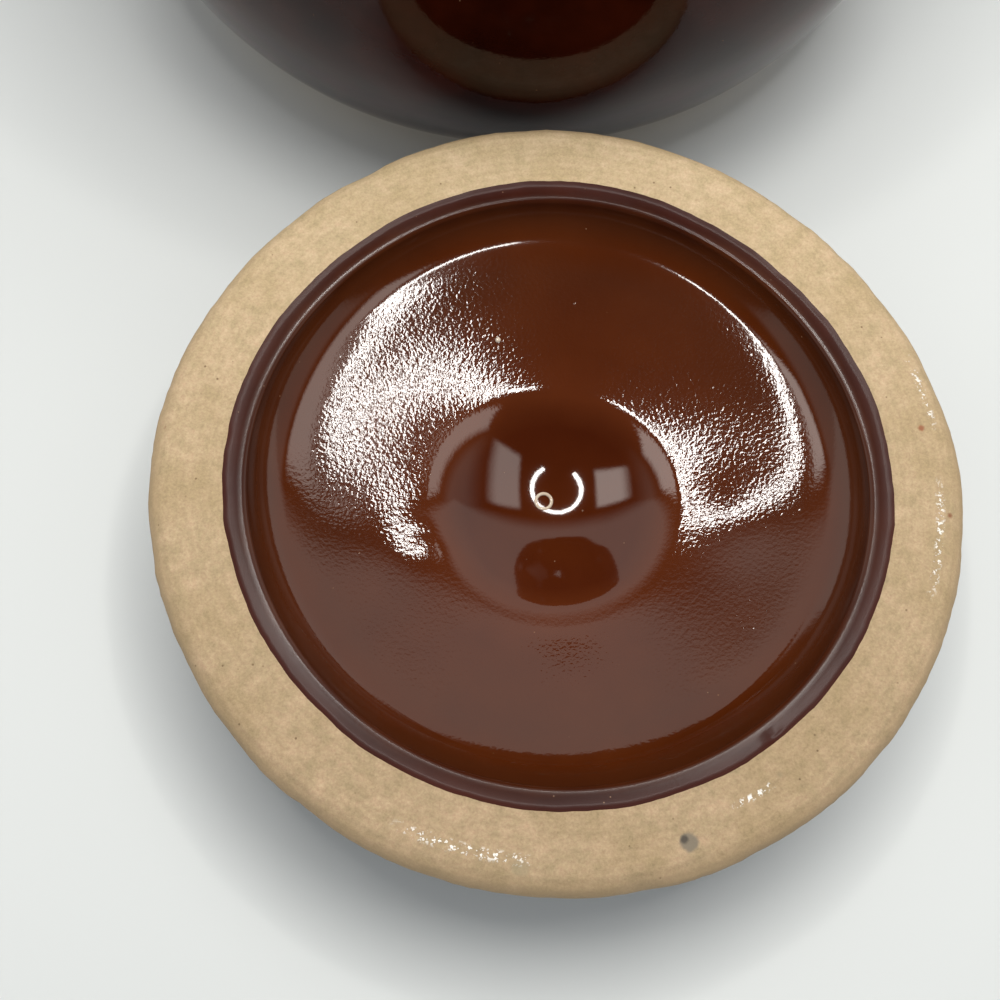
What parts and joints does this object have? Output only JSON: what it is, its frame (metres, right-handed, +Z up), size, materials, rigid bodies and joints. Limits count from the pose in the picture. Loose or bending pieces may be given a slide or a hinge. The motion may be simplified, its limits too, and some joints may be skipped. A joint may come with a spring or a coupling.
{
  "type": "bean pot",
  "caption": "Bellied stoneware pot with ear handles and a brown glaze, and its loose domed lid lying upside down on its knob beside it.",
  "frame": {"origin": "middle of the ring that the pot stands on, at the level of the table", "axes": "+Z up along the pot's own axis; -Y from the pot to the lid that lies in front of it; the ear handles lie along X"},
  "size_m": [0.1906, 0.295, 0.135],
  "materials": {
    "buff_stoneware": "bare, matt, fine-grained buff clay",
    "brown_glaze": "thick, very dark brown, glossy",
    "liner_glaze": "reddish brown, glossy with a fine orange peel"
  },
  "bodies": {
    "pot": {"pot_body": "buff_stoneware", "pot_glaze_outside": "brown_glaze", "pot_glaze_inside": "liner_glaze", "handle_left": "brown_glaze", "handle_right": "brown_glaze"},
    "lid": {"lid_disc": "buff_stoneware", "lid_knob": "brown_glaze", "lid_glaze_top": "brown_glaze", "lid_glaze_underside": "liner_glaze"}
  },
  "joints": [
    {"name": "lid_lift", "type": "slide", "parent": "pot", "child": "lid", "axis": [0, 0, 1], "range_m": [0, 0.15]}
  ]
}
